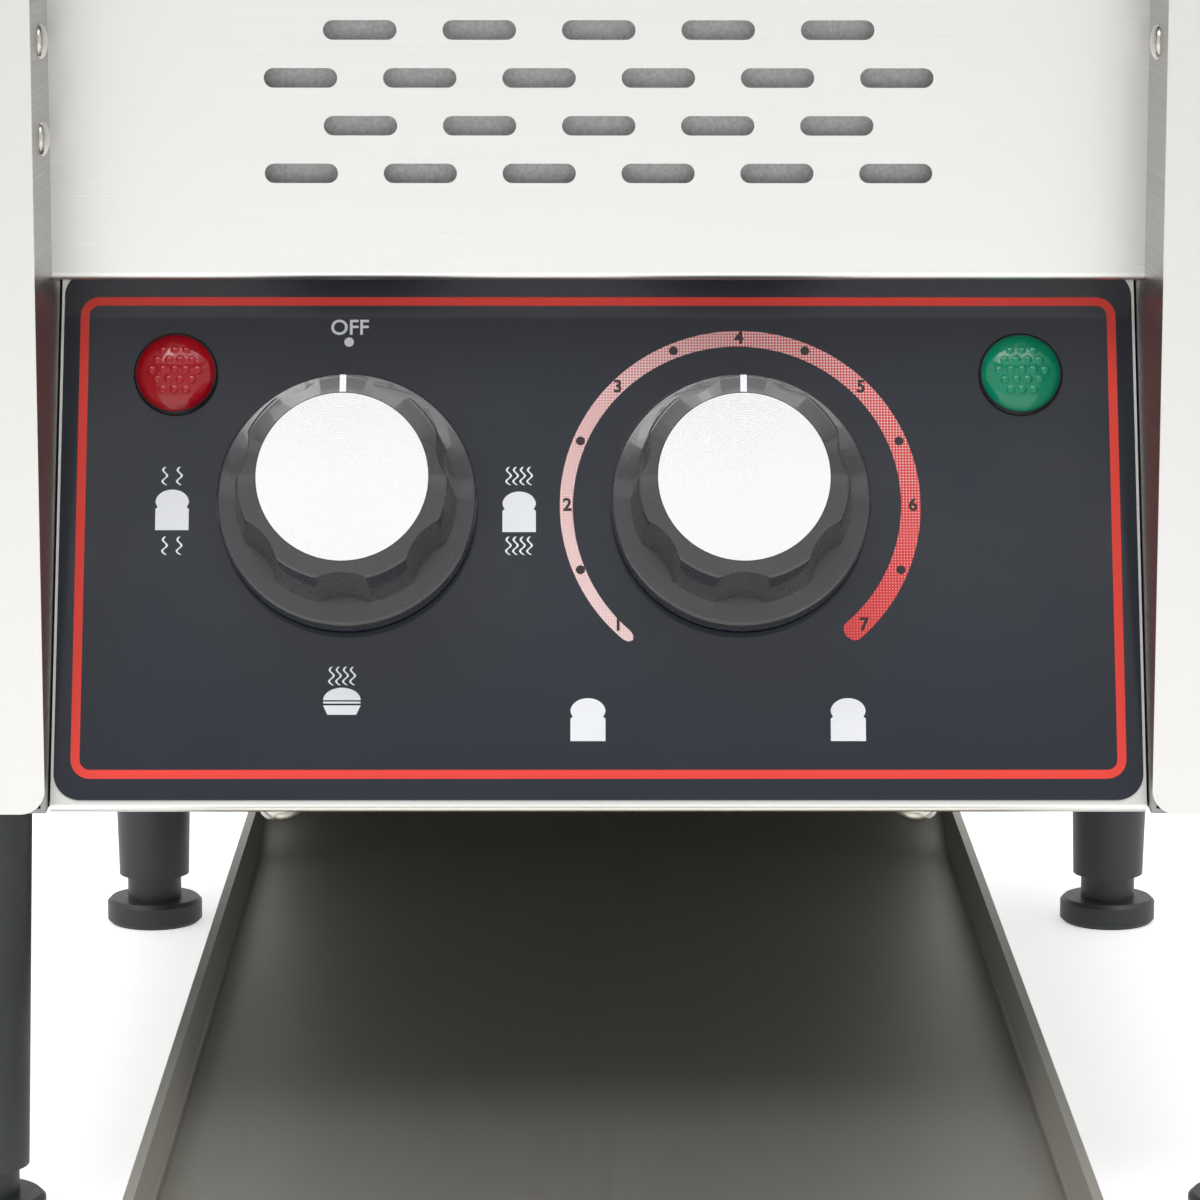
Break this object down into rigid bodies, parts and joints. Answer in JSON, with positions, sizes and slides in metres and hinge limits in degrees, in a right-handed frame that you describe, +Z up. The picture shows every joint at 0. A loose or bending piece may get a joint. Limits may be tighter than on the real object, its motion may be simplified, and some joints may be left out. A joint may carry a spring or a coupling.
{
  "type": "conveyor toaster",
  "caption": "Countertop conveyor toaster in brushed steel with a black sloped control panel, two fluted knobs, red and green lamps, and a long tray under the body between black legs.",
  "frame": {"origin": "centre of the object's bounding box on the surface it stands on", "axes": "+X to the viewer's right, +Y to the rear, +Z up"},
  "size_m": [0.288, 0.418, 0.387],
  "materials": {
    "brushed_steel": "horizontally brushed stainless steel sheet",
    "galvanised_sheet": "dull galvanised steel",
    "polished_reflector": "bright rolled stainless sheet",
    "bright_screw": "plated steel",
    "turned_steel": "turned steel",
    "chrome_wire": "chrome plated wire",
    "sintered_bronze": "oiled sintered bronze",
    "black_label": "gloss black printed panel",
    "black_knob": "satin black moulding",
    "spun_aluminium": "spun aluminium",
    "red_lens": "translucent red lens",
    "green_lens": "translucent green lens",
    "black_leg": "satin black nylon",
    "black_moulding": "black moulding",
    "circuit_moulding": "circuit board and pale moulding",
    "quartz": "quartz tube",
    "ceramic": "white ceramic"
  },
  "bodies": {
    "housing": {"base_pan": "galvanised_sheet", "left_side_cover": "brushed_steel", "right_side_cover": "brushed_steel", "left_inner_wall": "brushed_steel", "right_inner_wall": "brushed_steel", "top_cover": "brushed_steel", "rear_panel": "brushed_steel", "rear_screws": "bright_screw", "front_header": "brushed_steel", "vent_panel": "brushed_steel", "vent_backing": "galvanised_sheet", "control_shield": "brushed_steel", "control_panel": "brushed_steel", "control_label": "black_label", "lip_screws": "bright_screw", "recess_screws": "bright_screw", "mode_switch": "black_moulding", "speed_control": "circuit_moulding", "control_nuts": "bright_screw", "red_lamp_lens": "red_lens", "green_lamp_lens": "green_lens", "lamp_holders": "black_moulding", "upper_reflector": "polished_reflector", "lower_reflector": "polished_reflector", "upper_heater_tubes": "quartz", "lower_heater_tubes": "quartz", "heater_ends": "ceramic", "shaft_bushes": "sintered_bronze", "conveyor_belt": "brushed_steel", "belt_rails": "galvanised_sheet", "gear_motor": "galvanised_sheet", "drive_chain": "galvanised_sheet", "toast_chute": "brushed_steel", "tray_shelf": "brushed_steel", "front_left_leg": "black_leg", "front_right_leg": "black_leg", "rear_left_leg": "black_leg", "rear_right_leg": "black_leg", "leg_nuts": "bright_screw", "cable_gland": "black_moulding", "terminal_block": "circuit_moulding"},
    "drive_roller": {"drive_shaft": "turned_steel", "drive_drums": "turned_steel", "driven_sprocket": "turned_steel"},
    "idler_roller": {"idler_shaft": "turned_steel", "idler_drums": "turned_steel"},
    "motor_output": {"motor_shaft": "turned_steel", "motor_sprocket": "turned_steel"},
    "mode_control": {"mode_knob": "black_knob", "mode_knob_disc": "spun_aluminium", "mode_spindle": "turned_steel"},
    "speed_setting": {"speed_knob": "black_knob", "speed_knob_disc": "spun_aluminium", "speed_spindle": "turned_steel"},
    "rack": {"feed_rack": "chrome_wire"},
    "tray": {"receiving_tray": "brushed_steel"},
    "foot_front_left": {"front_left_foot": "black_leg"},
    "foot_front_right": {"front_right_foot": "black_leg"},
    "foot_rear_left": {"rear_left_foot": "black_leg"},
    "foot_rear_right": {"rear_right_foot": "black_leg"}
  },
  "joints": [
    {"name": "drive_spin", "type": "hinge", "parent": "housing", "child": "drive_roller", "pos_m": [0, 0.1324, 0.295], "axis": [1, 0, 0], "continuous": true},
    {"name": "idler_spin", "type": "hinge", "parent": "housing", "child": "idler_roller", "pos_m": [0, -0.092, 0.295], "axis": [1, 0, 0], "continuous": true},
    {"name": "motor_spin", "type": "hinge", "parent": "housing", "child": "motor_output", "pos_m": [0.138, 0.1324, 0.19], "axis": [1, 0, 0], "continuous": true},
    {"name": "mode_turn", "type": "hinge", "parent": "housing", "child": "mode_control", "pos_m": [-0.0558, -0.09907, 0.15264], "axis": [0, 0.9272, -0.3746], "range_deg": [0, 270]},
    {"name": "speed_turn", "type": "hinge", "parent": "housing", "child": "speed_setting", "pos_m": [0.0253, -0.09907, 0.15264], "axis": [0, 0.9272, -0.3746], "range_deg": [-135, 135]},
    {"name": "rack_lift", "type": "hinge", "parent": "housing", "child": "rack", "pos_m": [-0.004, -0.112, 0.3125], "axis": [-1, 0, 0], "range_deg": [0, 45]},
    {"name": "tray_slide", "type": "slide", "parent": "housing", "child": "tray", "axis": [0, -1, 0], "range_m": [0, 0.12]},
    {"name": "front_left_foot_screw", "type": "slide", "parent": "housing", "child": "foot_front_left", "axis": [0, 0, 1], "range_m": [0, 0.006]},
    {"name": "front_right_foot_screw", "type": "slide", "parent": "housing", "child": "foot_front_right", "axis": [0, 0, 1], "range_m": [0, 0.006]},
    {"name": "rear_left_foot_screw", "type": "slide", "parent": "housing", "child": "foot_rear_left", "axis": [0, 0, 1], "range_m": [0, 0.006]},
    {"name": "rear_right_foot_screw", "type": "slide", "parent": "housing", "child": "foot_rear_right", "axis": [0, 0, 1], "range_m": [0, 0.006]}
  ],
  "couplings": [
    {"joint": "idler_spin", "follows": "drive_spin", "ratio": 1},
    {"joint": "motor_spin", "follows": "drive_spin", "ratio": 1.6667}
  ]
}
